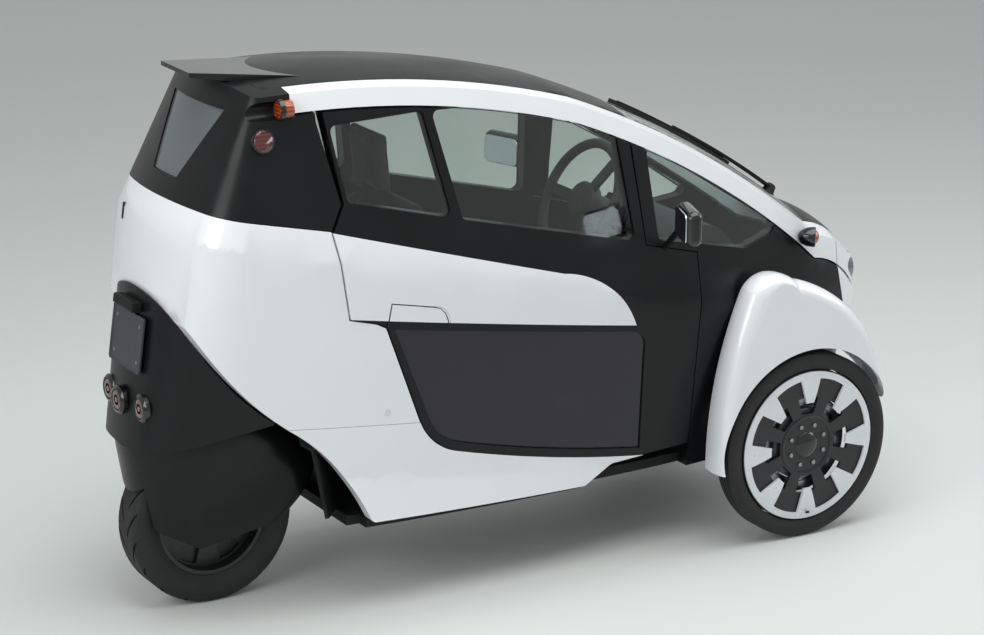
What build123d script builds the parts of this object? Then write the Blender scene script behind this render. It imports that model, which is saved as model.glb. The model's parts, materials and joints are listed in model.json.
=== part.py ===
from build123d import *
import math
import os

# A narrow tandem two-seat car with two front wheels and one steered rear wheel.
# Lengths are millimetres. s runs forward from the rear axle, y to the left, z up from the ground.

# Overall sizes
REAR_OVERHANG = 250
WHEELBASE = 1695
FRONT_OVERHANG = 400
LENGTH = REAR_OVERHANG + WHEELBASE + FRONT_OVERHANG
FRAME_SHIFT = REAR_OVERHANG - LENGTH / 2

# Wheels
FRONT_TYRE_R = 275
FRONT_TYRE_W = 80
FRONT_RIM_R = 222
FRONT_TRACK = 774
REAR_TYRE_R = 235
REAR_TYRE_W = 120
REAR_RIM_R = 158
COVER_R = 219
COVER_HOLE_R = 128
NOTCHES = 8
NOTCH_R = 200
AXLE_R = 15
REAR_AXLE_R = 10
REAR_HUB_R = 50
REAR_HUB_HALF = 58
REAR_SPOKES = 6
RIM_LIP = 0.8
COVER_CROWN_R = 180
RUN_FIT = 0.05

# Body walls and gaps
WALL = 42
SHUT_GAP = 6
ROOF_WALL = 25
GLASS = 6
GLASS_INSET = 5
GLASS_EDGE = 12
SEAT_GAP = 0.3
RAIL_DEPTH = 45
PANEL_POCKET = 12
PANEL_PROUD = 4
WINDOW_CORNER = 18

# Rear steering: the axis leans back and runs through the wheel centre
RAKE = 9
PARTING_H = 281
PARTING_GAP = 6
STEM_R = 25
COWL_WALL = 9

# Door hinge
DOOR_FRONT_S = 1370

# Side envelope: one plan outline on the sloping shoulder plane, drawn in above and below it
SHOULDER_Z = 1045
SHOULDER_SLOPE = -0.23
TAIL_S = -158
NOSE_S = WHEELBASE + FRONT_OVERHANG
MIDDLE_S = 560
REAR_HALF = 320
MIDDLE_HALF = 366
DOOR_HALF = 345
NOSE_HALF = 178
REAR_CORNER = 60
NOSE_CORNER = 90
REAR_CORNER_R = 130
NOSE_CORNER_R = 60
TUMBLEHOME = 13.4
TUCK_IN = 5.4
HIGH = 620
LOW = 900
BODY_LOW_Z = 228
UPPER_Z = 480

# Top envelope: a profile of three arcs turned about a low axis that climbs to the nose
AXIS_REAR_Z = 330
AXIS_NOSE_Z = 560
ROOF_ARC = ((-340, 1398), (270, 1456), (1000, 1348))
SCREEN_ARC = ((1000, 1348), (1436, 1152), (1830, 896))
BONNET_ARC = ((1830, 896), (2000, 795), (2100, 660))

# Where the roof, screen and bonnet meet, and where the rails start
ROOF_FRONT_S = 1200
SCREEN_FRONT_S = 1840
RAIL_REAR_S = 150
RAIL_FRONT_S = 1948
BONNET_WALL = 12
PANEL_GAP = 0.8

# Roof spoiler: a blade that rises out of the roof and overhangs the tail
SPOILER_LEAD = (320, 1440)
SPOILER_TIP = (-60, 1476)
SPOILER_ROOT = (150, 1430)
SPOILER_T = 12
SPOILER_TIP_HALF = 86
SPOILER_LEAD_HALF = 150

# Lamps of the upper body, and the rear window's foot and head as half width and height
AMBER_R = 24
AMBER_L = 38
AMBER_Y = 248
AMBER_Z = 1392
SIDE_LAMP_R = 27
SIDE_LAMP_S = 60
SIDE_LAMP_Z = 1320
SIDE_LAMP_PROUD = 8
SIDE_LAMP_DEPTH = 20
HEADLAMP_R = 48
HEADLAMP_Y = 112
HEADLAMP_Z = 690
HEADLAMP_S = 1985
INDICATOR_R = 30
INDICATOR_AT = (1795, -252, 838)
WINDOW_FOOT = (70, 1200)
WINDOW_HEAD = (150, 1385)
WINDOW_FRONT_S = 60
FRONT_ARCH_R = 190
FRONT_ARCH_RISE = 30

# Door mirror: a pod turned in towards the driver, on a slim arm
MIRROR_AT = (1222, -492, 1005)
MIRROR_SIZE = (46, 142, 98)
MIRROR_ROUND = 21
MIRROR_TOE = 20
MIRROR_ARM_R = 9
MIRROR_ARM = ((1262, -300, 880), (1232, -440, 985))

# Door handle: a flap marked by a groove in the white panel
HANDLE_GROOVE = 3
HANDLE_DEPTH = 2.5

# Floor and rear arch
FLOOR_Z = BODY_LOW_Z
FLOOR_T = 30
FLOOR_REAR_S = 300
FLOOR_FRONT_S = 1880
LIP_INSET = 5
LIP_REAR_Z = 256
LIP_FRONT_Z = 240
ARCH_R = 345
ARCH_T = 8
ARCH_DISC_R = 290
HEAD_R = 45
HEAD_H = 150

# Tail bumper: a capsule in plan, flared upwards
BUMPER_Z = 350
BUMPER_LEAN = 0.36
BUMPER_REAR_S = -270
BUMPER_FRONT_S = 160
BUMPER_HALF = 182
BUMPER_STERN = 36
BUMPER_CORNER_R = 110
BUMPER_RISE = 640
BUMPER_FLARE = 12
BUMPER_WALL = 12
LAMP_R = 31
LAMP_PITCH = 100
LAMP_Z = 600
LAMP_STEP = 20
LAMP_BACK_S = -200
LAMP_CHAMFER = 6
PLATE_W = 180
PLATE_H = 140
PLATE_T = 4
PLATE_Z = 765
HOOD_D = 30
HOOD_W = 120
HOOD_H = 26

# Fender
WIDTH = 870
FENDER_INNER_Y = 335
FENDER_WALL = 12
FENDER_ARCH_R = 290
FENDER_LOW_Z = 230

# Steering wheel and seats
STEER_S = 1180
STEER_Z = 969
STEER_LEAN = 26
STEER_RIM_R = 165
STEER_TUBE_R = 14
SEAT_HALF = 190
SEAT_HEAD_HALF = 95
REAR_SEAT_HALF = 165
REAR_HEAD_HALF = 85
BATTERY_TOP = 400
BATTERY_S = (500, 960)
BATTERY_HALF = 180

WIPER_SPAN = (0.3, 0.65, 0.97)
WIPER_LIFT = 0.3
WIPER_T = 12
WIPER_W = 14

FAR = 700


def outline(start, *steps):
    """A face: a point adds a line, a pair of points an arc through the first to the second."""
    edges = []
    here = start
    for step in steps:
        if isinstance(step[0], tuple):
            edges.append(ThreePointArc(here, step[0], step[1]))
            here = step[1]
        else:
            edges.append(Line(here, step))
            here = step
    if here != start:
        edges.append(Line(here, start))
    return make_face(edges)


def right_prism(face):
    return extrude(Plane.XZ * face, amount=FAR)


def cross_prism(face):
    return extrude(Plane.XZ * face, amount=FAR, both=True)


def shrunk(face, gap):
    return offset(face, amount=-gap, kind=Kind.INTERSECTION)


def block(s0, s1, y0, y1, z0, z1):
    centre = ((s0 + s1) / 2, (y0 + y1) / 2, (z0 + z1) / 2)
    return Pos(*centre) * Box(s1 - s0, y1 - y0, z1 - z0)


def rod_x(radius, s0, s1, y, z):
    return Pos((s0 + s1) / 2, y, z) * Rot(0, 90, 0) * Cylinder(radius, s1 - s0)


def rod_y(radius, y0, y1, s, z):
    return Pos(s, (y0 + y1) / 2, z) * Rot(90, 0, 0) * Cylinder(radius, y1 - y0)


def rod(radius, a, b):
    start, end = Vector(*a), Vector(*b)
    plane = Plane(origin=start, z_dir=end - start)
    return extrude(plane * Circle(radius), amount=(end - start).length)


def pair(right):
    left = mirror(right, about=Plane.XZ)
    return Compound(right.solids() + left.solids())


def plan_outline():
    """The body's plan on the shoulder plane, rounded at its four corners."""
    stretch = math.hypot(1, SHOULDER_SLOPE)
    rear_s = (TAIL_S + REAR_CORNER) * stretch
    nose_s = (NOSE_S - NOSE_CORNER) * stretch
    door = (DOOR_FRONT_S * stretch, -DOOR_HALF)
    flank = ThreePointArc((rear_s, -REAR_HALF), (MIDDLE_S * stretch, -MIDDLE_HALF), door)
    bow = TangentArc(door, (nose_s, -NOSE_HALF), tangent=flank % 1)
    stern = ThreePointArc((rear_s, REAR_HALF), (TAIL_S * stretch, 0), (rear_s, -REAR_HALF))
    stem = ThreePointArc((nose_s, -NOSE_HALF), (NOSE_S * stretch, 0), (nose_s, NOSE_HALF))
    face = make_face([stern, flank, bow, stem, mirror(bow, Plane.XZ), mirror(flank, Plane.XZ)])
    face = fillet([v for v in face.vertices() if abs(v.X - rear_s) < 1], REAR_CORNER_R)
    return fillet([v for v in face.vertices() if abs(v.X - nose_s) < 1], NOSE_CORNER_R)


def side_envelope(inset):
    plane = Plane(origin=(0, 0, SHOULDER_Z), x_dir=(1, 0, SHOULDER_SLOPE), z_dir=(-SHOULDER_SLOPE, 0, 1))
    face = offset(plan_outline(), amount=-inset) if inset else plan_outline()
    upper = extrude(plane * face, amount=HIGH, taper=TUMBLEHOME)
    return upper + extrude(plane * face, amount=-LOW, taper=TUCK_IN)


def top_envelope(drop):
    axis = Axis((0, 0, AXIS_REAR_Z), (NOSE_S, 0, AXIS_NOSE_Z - AXIS_REAR_Z))
    rise = (AXIS_NOSE_Z - AXIS_REAR_Z) / NOSE_S

    def lowered(point):
        return (point[0], point[1] - drop)

    edges = [ThreePointArc(*[lowered(p) for p in arc]) for arc in (ROOF_ARC, SCREEN_ARC, BONNET_ARC)]
    rear, front = lowered(ROOF_ARC[0]), lowered(BONNET_ARC[-1])
    rear_foot = (rear[0], AXIS_REAR_Z + rise * rear[0])
    front_foot = (front[0], AXIS_REAR_Z + rise * front[0])
    edges += [Line(front, front_foot), Line(front_foot, rear_foot), Line(rear_foot, rear)]
    return revolve(Plane.XZ * make_face(edges), axis)


def glass_layer(inset):
    return side_envelope(inset) - side_envelope(inset + GLASS)


SIDE = side_envelope(0) & block(-FAR, 4 * FAR, -FAR, FAR, BODY_LOW_Z, 4 * FAR)
INNER = side_envelope(WALL)
SEATED = side_envelope(WALL + SEAT_GAP)
TOP = top_envelope(0)
UNDER_RAIL = top_envelope(RAIL_DEPTH)
UNDER_SEAL = top_envelope(RAIL_DEPTH + SHUT_GAP)
BODY = SIDE & TOP
WALLS = (SIDE & UNDER_SEAL) - INNER
RAIL_BAR = (BODY - INNER - UNDER_RAIL) & block(-FAR, 4 * FAR, -FAR, FAR, UPPER_Z, 4 * FAR)
GLASS_SKIN = glass_layer(GLASS_INSET)
SLOT_SKIN = side_envelope(GLASS_INSET - SEAT_GAP) - side_envelope(GLASS_INSET + GLASS + SEAT_GAP)
STEER_FRAME = Location((0, 0, REAR_TYRE_R), (0, -RAKE, 0))

# Side view regions, right side: s and z
DOOR = outline((221, 1470), (1150, 1470), (1195, 912), (DOOR_FRONT_S, 866), (DOOR_FRONT_S, 298), (1214, 292),
               ((824, 358), (600, 412)), ((528, 452), (486, 512)), (374, 797), (345, 812), (268, 832),
               (228, 1075), (264, 1140))
DOOR_PANEL = outline((222, 1075), (913, 878), ((1080, 800), (1154, 690)), (268, 832))
REAR_PANE = fillet(outline((250, 1338), (278, 1142), (582, 1066), (526, 1348)).vertices(), WINDOW_CORNER)
FRONT_PANE = outline((552, 1346), (612, 1058), (1160, 926), (1128, 1226), ((860, 1312), (552, 1346)))
FRONT_PANE = fillet(FRONT_PANE.vertices(), WINDOW_CORNER)
LOWER_PANE = outline((398, 790), (1140, 676), ((1176, 655), (1186, 610)), (1196, 318),
                     ((824, 384), (612, 436)), ((548, 470), (512, 520)))
QUARTER = fillet(outline((1222, 1180), (1700, 880), (1549, 846), (1238, 918)).vertices(), WINDOW_CORNER)
UPPER_REAR = outline((-320, 1189), (222, 1075), (258, 1140), (215, 1352), (215, 1470), (-320, 1470))
TAIL = outline((-320, 1189), (222, 1075), (268, 832), (345, 812), (374, 797), (486, 512), (104, 545),
               ((-60, 700), (-190, 915)), (-320, 1050))
SILL = outline((104, 545), (486, 512), ((528, 452), (600, 412)), ((824, 358), (1214, 292)), (1107, 286),
               (1010, LIP_FRONT_Z), (345, LIP_REAR_Z), (336, LIP_REAR_Z + 6), ((262, 395), (104, 545)))
FRONT = outline((1156, 1470), (1960, 1470), (1950, 720), (2010, 330), (1930, 200), (DOOR_FRONT_S, 200),
                (DOOR_FRONT_S, 866), (1195, 912))
NOSE = outline((1960, 1470), (2200, 1470), (2200, 200), (1930, 200), (2010, 330), (1950, 720))
LIP = outline((338, FLOOR_Z), (1010, FLOOR_Z), (1010, LIP_FRONT_Z - SEAT_GAP), (345, LIP_REAR_Z - SEAT_GAP),
              (338, LIP_REAR_Z - SEAT_GAP))
HANDLE = outline((374, 800), (384, 866), (505, 842), ((545, 826), (557, 775)))
BUMPER = outline((104, 545), ((-60, 700), (-190, 915)), (-320, 1050), (-320, 400), (104, 400))


def door_pieces():
    region = right_prism(shrunk(DOOR, SHUT_GAP / 2))
    panel_pocket = right_prism(shrunk(DOOR_PANEL, SHUT_GAP / 2 - SEAT_GAP))
    frame = (WALLS & region) - (panel_pocket - side_envelope(PANEL_POCKET))
    for pane in (REAR_PANE, FRONT_PANE, LOWER_PANE):
        frame -= right_prism(pane)
    frame -= SLOT_SKIN & right_prism(shrunk(REAR_PANE, -GLASS_EDGE - SEAT_GAP))
    frame -= SLOT_SKIN & right_prism(shrunk(FRONT_PANE, -GLASS_EDGE - SEAT_GAP))
    frame -= SLOT_SKIN & right_prism(shrunk(LOWER_PANE, -GLASS_EDGE - SEAT_GAP))
    panel_skin = side_envelope(-PANEL_PROUD) - side_envelope(PANEL_POCKET - SEAT_GAP)
    panel = panel_skin & right_prism(shrunk(DOOR_PANEL, SHUT_GAP / 2))
    groove = right_prism(HANDLE) - right_prism(shrunk(HANDLE, HANDLE_GROOVE))
    panel -= groove - side_envelope(HANDLE_DEPTH - PANEL_PROUD)
    side_glass = []
    for pane in (REAR_PANE, FRONT_PANE):
        side_glass.append((GLASS_SKIN & right_prism(shrunk(pane, -GLASS_EDGE)) & UNDER_SEAL).solid())
    lower_glass = GLASS_SKIN & right_prism(shrunk(LOWER_PANE, -GLASS_EDGE))
    return frame, panel, Compound(side_glass), lower_glass


def steered(shape):
    """Places a shape drawn about the rear wheel centre, with z along the steering axis."""
    return STEER_FRAME * shape


def parting_block(low, high):
    return steered(block(-FAR, FAR, -FAR, FAR, low, high))


def bumper_envelope(inset):
    """A capsule on a plane that leans back, flared as it goes up and forward."""
    rear_s = BUMPER_REAR_S + BUMPER_STERN
    stern = ((BUMPER_REAR_S, 0), (rear_s, -BUMPER_HALF))
    face = outline((BUMPER_FRONT_S, BUMPER_HALF), (rear_s, BUMPER_HALF), stern, (BUMPER_FRONT_S, -BUMPER_HALF))
    face = fillet([v for v in face.vertices() if abs(v.X - rear_s) < 1], BUMPER_CORNER_R)
    if inset:
        face = offset(face, amount=-inset)
    plane = Plane(origin=(0, 0, BUMPER_Z), x_dir=(1, 0, -BUMPER_LEAN), z_dir=(BUMPER_LEAN, 0, 1))
    return extrude(plane * face, amount=BUMPER_RISE, taper=-BUMPER_FLARE)


def rear_wheel_housing():
    low = -60
    cone = PARTING_H - 80
    top = PARTING_H + PARTING_GAP
    outer = ARCH_R + ARCH_T
    lid = top + ARCH_T
    bore = STEM_R + RUN_FIT
    profile = outline((ARCH_R, low), (outer, low), (outer, cone), (ARCH_DISC_R, lid), (HEAD_R, lid),
                      (HEAD_R, top + HEAD_H), (bore, top + HEAD_H), (bore, top), (ARCH_DISC_R - ARCH_T, top),
                      (ARCH_R, cone - ARCH_T))
    shell = steered(revolve(Plane.XZ * profile, Axis.Z))
    front = shell & SEATED & block(BUMPER_FRONT_S, FAR, -FAR, FAR, FLOOR_Z + FLOOR_T + SEAT_GAP, FAR)
    behind = block(-FAR, BUMPER_FRONT_S, -FAR, FAR, 0, 2 * FAR)
    rear = shell & bumper_envelope(BUMPER_WALL + SEAT_GAP) & behind
    return front + rear


def rear_cowl():
    rows = [(-60, 200, 104), (60, 332, 122), (170, 318, 168), (PARTING_H - PARTING_GAP / 2, 232, 186)]
    lean = math.radians(RAKE)
    rear = (REAR_OVERHANG - SHUT_GAP - PARTING_H * math.sin(lean)) / math.cos(lean)

    def envelope(inset, lid):
        sections = []
        for h, front, half in rows:
            w = half - inset
            tail, nose = inset - rear, front - inset
            face = outline((tail + w, -w), (nose - w, -w), ((nose, 0), (nose - w, w)), (tail + w, w),
                           ((tail, 0), (tail + w, -w)))
            sections.append(Pos(0, 0, h - (lid if h == rows[-1][0] else 0)) * face)
        return loft(sections)

    side = outline((-FAR, FAR), (FAR, FAR), (FAR, 30), (332, 30), (175, -46), (-70, -46), (-205, 60),
                   (-FAR, 130))
    shell = (envelope(0, 0) - envelope(COWL_WALL, COWL_WALL)) & cross_prism(side)
    wheel_slot = rod_y(REAR_TYRE_R + 12, -REAR_TYRE_W / 2 - 12, REAR_TYRE_W / 2 + 12, 0, 0)
    shell -= wheel_slot
    return steered(shell - Cylinder(STEM_R + SEAT_GAP, 4 * FAR))


def rear_fork():
    leg_in = REAR_TYRE_W / 2 + 10
    leg_t = 14
    crown_top = PARTING_H - PARTING_GAP / 2 - COWL_WALL - SEAT_GAP
    crown = block(-70, 70, -leg_in - leg_t, leg_in + leg_t, REAR_TYRE_R + 14, crown_top)
    stem = Pos(0, 0, (crown_top + PARTING_H + HEAD_H) / 2) * Cylinder(STEM_R, PARTING_H + HEAD_H - crown_top)
    fork = crown + stem + rod_y(REAR_AXLE_R, -leg_in - leg_t, leg_in + leg_t, 0, 0)
    leg = outline((-32, 0), ((0, -32), (32, 0)), (60, crown_top), (-60, crown_top))
    for side in (-1, 1):
        y = side * (leg_in + leg_t / 2)
        fork += Pos(0, y, 0) * extrude(Plane.XZ * leg, amount=leg_t / 2, both=True)
    return steered(fork)


def tyre(radius, width, rim_r, s, y):
    half = width / 2
    flat = half * 0.62
    shoulder = radius - width * 0.16
    bead = half * 0.82
    profile = outline((rim_r, -bead), ((rim_r * 0.5 + radius * 0.5, -half), (shoulder, -half * 0.96)),
                      ((radius - width * 0.03, -half * 0.82), (radius, -flat)), (radius, flat),
                      ((radius - width * 0.03, half * 0.82), (shoulder, half * 0.96)),
                      ((rim_r * 0.5 + radius * 0.5, half), (rim_r, bead)))
    return Pos(s, y, radius) * revolve(Plane.XY * profile, Axis.Y)


def front_rim(y):
    half = FRONT_TYRE_W / 2
    drum = FRONT_RIM_R - SEAT_GAP
    face = half - 12
    lip = half * RIM_LIP
    bore = AXLE_R + RUN_FIT
    profile = outline((drum, -lip), (drum, lip), (drum - 12, lip), (drum - 14, -face + 8), (bore, -face + 12),
                      (bore, -face), (drum - 20, -face - 2), (drum - 12, -lip))
    rim = revolve(Plane.XY * profile, Axis.Y)
    window = outline((92, -20), (138, -34), ((144, 0), (138, 34)), (92, 20))
    for i in range(NOTCHES):
        rim -= Rot(0, i * 360 / NOTCHES, 0) * extrude(Plane.XZ * window, amount=FAR, both=True)
    return Pos(WHEELBASE, y, FRONT_TYRE_R) * rim


def wheel_cover(y):
    half = FRONT_TYRE_W / 2
    back = -RIM_LIP * half - SEAT_GAP
    crown = ((COVER_CROWN_R, back - 7.5), (COVER_HOLE_R, back - 6))
    profile = outline((COVER_HOLE_R, back), (COVER_R, back), (COVER_R, back - 2.5), crown)
    cover = revolve(Plane.XY * profile, Axis.Y)
    notch = outline((0, -24), (NOTCH_R - 6, -45), ((NOTCH_R, 0), (NOTCH_R - 6, 45)), (0, 24))
    for i in range(NOTCHES):
        turn = (i + 0.5) * 360 / NOTCHES
        cover -= Rot(0, turn, 0) * extrude(Plane.XZ * notch, amount=FAR, both=True)
    return Pos(WHEELBASE, y, FRONT_TYRE_R) * cover


def rear_rim():
    half = REAR_TYRE_W / 2
    drum = REAR_RIM_R - SEAT_GAP
    lip = half * RIM_LIP
    bore = REAR_AXLE_R + RUN_FIT
    hub_r, hub_half = REAR_HUB_R, REAR_HUB_HALF
    profile = outline((drum, -lip), (drum, lip), (drum - 12, lip), (drum - 14, 14), (hub_r, 20), (hub_r, hub_half),
                      (bore, hub_half), (bore, -hub_half), (hub_r, -hub_half), (hub_r, -20), (drum - 14, -14),
                      (drum - 12, -lip))
    rim = revolve(Plane.XY * profile, Axis.Y)
    window = outline((62, -12), (132, -34), ((138, 0), (132, 34)), (62, 12))
    for i in range(REAR_SPOKES):
        rim -= Rot(0, i * 360 / REAR_SPOKES, 0) * extrude(Plane.XZ * window, amount=FAR, both=True)
    return Pos(0, 0, REAR_TYRE_R) * rim


WHEEL_Y = FRONT_TRACK / 2
KNUCKLE_Y = WHEEL_Y - 41
KNUCKLE_T = 24
BRACKET_TOP = 600


def front_knuckle():
    inner = -KNUCKLE_Y + KNUCKLE_T
    upright = block(WHEELBASE - 36, WHEELBASE + 36, -KNUCKLE_Y, inner, FRONT_TYRE_R - 70, FRONT_TYRE_R + 200)
    axle = rod_y(AXLE_R, -WHEEL_Y - 26, inner, WHEELBASE, FRONT_TYRE_R)
    motor = rod_y(105, -WHEEL_Y - 12, -KNUCKLE_Y + 1, WHEELBASE, FRONT_TYRE_R)
    outer = SEAT_GAP - FENDER_INNER_Y
    bracket = block(WHEELBASE - 26, WHEELBASE + 26, outer, inner, FRONT_TYRE_R + 180, BRACKET_TOP)
    return upright + axle + motor + bracket


ARM_HEIGHTS = (FRONT_TYRE_R - 30, FRONT_TYRE_R + 150)
YOKE_TOP = 500


def front_suspension():
    yoke = block(WHEELBASE - 60, WHEELBASE + 60, -70, 70, FLOOR_Z + FLOOR_T + SEAT_GAP, YOKE_TOP)
    outer = KNUCKLE_Y - KNUCKLE_T - SEAT_GAP
    for z in ARM_HEIGHTS:
        arm = outline((WHEELBASE - 85, -70), (WHEELBASE + 85, -70), (WHEELBASE + 24, -outer),
                      (WHEELBASE - 24, -outer))
        low = max(z, FLOOR_Z + FLOOR_T + SEAT_GAP + 2)
        right = Pos(0, 0, low) * extrude(arm, amount=26)
        yoke += right + mirror(right, about=Plane.XZ)
    return yoke


def fender_section(y, pull):
    """The fender's side view at a distance y from the middle, pulled in by pull."""
    front = ((1846 - 0.7 * pull, 650 - 0.7 * pull), (1970 - pull, 340))
    face = outline((1396 + 0.6 * pull, FENDER_LOW_Z), ((1427 + pull, 540), (1494 + pull, 750 - pull)),
                   ((1545, 788 - pull), (1640, 770 - pull)), front, (1940 - pull, FENDER_LOW_Z))
    return Plane.XZ.offset(y) * face


def front_fender():
    outer_y = WIDTH / 2
    inner_y = FENDER_INNER_Y
    rows = [(inner_y, 10), (inner_y + 45, 0), (outer_y - 17, 8), (outer_y, 40)]
    hollow_rows = [(inner_y + FENDER_WALL, 22), (inner_y + 45, 12), (outer_y - 23, 20),
                   (outer_y - FENDER_WALL, 46)]
    shell = loft([fender_section(y, pull) for y, pull in rows])
    shell -= loft([fender_section(y, pull) for y, pull in hollow_rows])
    return shell - rod_y(FENDER_ARCH_R, -FAR, 0, WHEELBASE, FRONT_TYRE_R)


def steering_frame():
    return Location((STEER_S, 0, STEER_Z), (0, STEER_LEAN - 90, 0))


def steering_wheel():
    wheel = Torus(STEER_RIM_R, STEER_TUBE_R) + Pos(0, 0, -18) * Cylinder(48, 36)
    for turn in (90, 210, 330):
        spoke = Pos(STEER_RIM_R / 2, 0, -8) * Box(STEER_RIM_R, 30, 12)
        wheel += Rot(0, 0, turn) * spoke
    return steering_frame() * wheel


def dashboard():
    face = outline((1290, 700), (1300, 850), ((1400, 905), (1510, 890)), (1600, 800), (1540, 660))
    dash = extrude(Plane.XZ * face, amount=210, both=True)
    pillar = block(1420, 1520, -60, 60, FLOOR_Z + FLOOR_T + SEAT_GAP, 720)
    column = steering_frame() * (Pos(0, 0, -36 - SEAT_GAP - 100) * Cylinder(30, 200))
    return dash + pillar + column


def seat(points, half):
    return extrude(Plane.XZ * outline(*points), amount=half, both=True)


def driver_seat():
    low = BATTERY_TOP + SEAT_GAP
    shape = seat([(560, low), (990, low), ((1015, 460), (985, 510)), (690, 480), (590, 1040),
                  ((560, 1085), (520, 1060)), (600, 520)], SEAT_HALF)
    head = seat([(540, 1075), (528, 1230), ((505, 1262), (478, 1236)), (500, 1080)], SEAT_HEAD_HALF)
    return shape + head


def rear_seat():
    shape = seat([(40, 560), (420, 560), (420, 650), ((410, 690), (380, 692)), (150, 660), (88, 1080),
                  ((58, 1120), (18, 1090)), (70, 640)], REAR_SEAT_HALF)
    head = seat([(48, 1100), (36, 1230), ((11, 1255), (-12, 1228)), (6, 1100)], REAR_HEAD_HALF)
    top = PARTING_H + PARTING_GAP + ARCH_T + SEAT_GAP
    clear = steered(Pos(0, 0, PARTING_H + HEAD_H / 2) * Cylinder(HEAD_R + 4, HEAD_H + 30))
    return ((shape + head) & parting_block(top, 4 * FAR)) - clear


def mirror_pod():
    pod = Pos(*MIRROR_AT) * Rot(0, 0, -MIRROR_TOE) * fillet(Box(*MIRROR_SIZE).edges(), MIRROR_ROUND)
    return pod + (rod(MIRROR_ARM_R, *MIRROR_ARM) - side_envelope(-SEAT_GAP))


def tail_lamps():
    """Three round lenses across the bumper, the outer two set in with its curve."""
    lamps = []
    for i in (-1, 0, 1):
        rear_s = -REAR_OVERHANG + abs(i) * LAMP_STEP
        lens = rod_x(LAMP_R - SEAT_GAP, rear_s, LAMP_BACK_S, i * LAMP_PITCH, LAMP_Z)
        lamps.append(chamfer(lens.edges().sort_by(Axis.X)[:1], LAMP_CHAMFER).solid())
    return Compound(lamps)


def tail_bumper():
    shell = bumper_envelope(0) - bumper_envelope(BUMPER_WALL)
    shell &= cross_prism(shrunk(BUMPER, SHUT_GAP / 2)) & parting_block(PARTING_H + PARTING_GAP / 2, 4 * FAR)
    for i in (-1, 0, 1):
        shell -= rod_x(LAMP_R, -FAR, 0, i * LAMP_PITCH, LAMP_Z)
    return shell


def bumper_stern(z):
    """Where the middle of the bumper's rear face lies at a height, and how far it leans from upright."""
    lean = math.atan(BUMPER_LEAN)
    foot_s = BUMPER_REAR_S * math.cos(lean)
    foot_z = BUMPER_Z - BUMPER_REAR_S * math.sin(lean)
    slope = lean - math.radians(BUMPER_FLARE)
    return foot_s + (z - foot_z) * math.tan(slope), math.degrees(slope)


def number_plate():
    s, lean = bumper_stern(PLATE_Z)
    place = Location((s, 0, PLATE_Z), (0, lean, 0))
    plate = Pos(-PLATE_T / 2 - SEAT_GAP, 0, 0) * Box(PLATE_T, PLATE_W, PLATE_H)
    hood = Pos(-HOOD_D / 2 - SEAT_GAP, 0, PLATE_H / 2 + HOOD_H) * Box(HOOD_D, HOOD_W, HOOD_H)
    hood = fillet(hood.edges().group_by(Axis.X)[0], HOOD_H / 4)
    return Compound([(place * plate).solid(), (place * hood).solid()])


def wiper_arm():
    arc = ThreePointArc(*SCREEN_ARC)
    span = [arc @ u for u in WIPER_SPAN]
    low = [(p.X, p.Y + WIPER_LIFT) for p in span]
    high = [(p.X, p.Y + WIPER_LIFT + WIPER_T) for p in span]
    face = outline(low[0], (low[1], low[2]), high[2], (high[1], high[0]))
    return extrude(Plane.XZ * face, amount=WIPER_W / 2, both=True)


def roof_skin(thickness, rear, front):
    """A stretch of the crowned top between the rails."""
    slab = (TOP & block(rear, front, -FAR, FAR, UPPER_Z, 3 * FAR)) - top_envelope(thickness)
    return slab & SEATED


def rear_window_cut(grow):
    """The tapered rear window as a bar along the car, grown all round."""
    (foot, low), (head, high) = WINDOW_FOOT, WINDOW_HEAD
    face = outline((-foot, low), (foot, low), (head, high), (-head, high))
    bar = extrude(Plane.YZ * (shrunk(face, -grow) if grow else face), amount=FAR, both=True)
    return bar & block(-FAR, WINDOW_FRONT_S, -FAR, FAR, 0, 3 * FAR)


def rear_upper_pieces():
    behind_rails = block(-FAR, RAIL_REAR_S - SEAT_GAP, -FAR, FAR, 0, 3 * FAR)
    seal_strip = (SIDE & UNDER_RAIL) - INNER - UNDER_SEAL
    upper = (WALLS & cross_prism(UPPER_REAR)) + ((RAIL_BAR + seal_strip) & behind_rails)
    upper -= rear_window_cut(0)
    upper -= SLOT_SKIN & rear_window_cut(GLASS_EDGE + SEAT_GAP)
    window = GLASS_SKIN & rear_window_cut(GLASS_EDGE)
    amber_end = RAIL_REAR_S - 2 * SEAT_GAP
    amber = rod_x(AMBER_R, amber_end - AMBER_L, amber_end, -AMBER_Y, AMBER_Z)
    upper -= pair(rod_x(AMBER_R + SEAT_GAP, 0, RAIL_REAR_S, -AMBER_Y, AMBER_Z))
    lens = rod_y(SIDE_LAMP_R, -FAR, -FAR / 4, SIDE_LAMP_S, SIDE_LAMP_Z)
    lens &= side_envelope(-SIDE_LAMP_PROUD) - side_envelope(SIDE_LAMP_DEPTH)
    seat_bore = rod_y(SIDE_LAMP_R + SEAT_GAP, -FAR, -FAR / 4, SIDE_LAMP_S, SIDE_LAMP_Z)
    upper -= pair(seat_bore - side_envelope(SIDE_LAMP_DEPTH + SEAT_GAP))
    return upper, window, pair(amber), pair(lens)


def roof_spoiler():
    tip_s, tip_z = SPOILER_TIP
    lead_s = SPOILER_LEAD[0]
    side = outline(SPOILER_LEAD, SPOILER_TIP, (tip_s, tip_z - SPOILER_T), SPOILER_ROOT)
    plan = outline((tip_s, SPOILER_TIP_HALF), (tip_s, -SPOILER_TIP_HALF), (lead_s, -SPOILER_LEAD_HALF),
                   (lead_s, SPOILER_LEAD_HALF))
    return (cross_prism(side) & extrude(plan, amount=3 * FAR)) - top_envelope(-SEAT_GAP)


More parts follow.
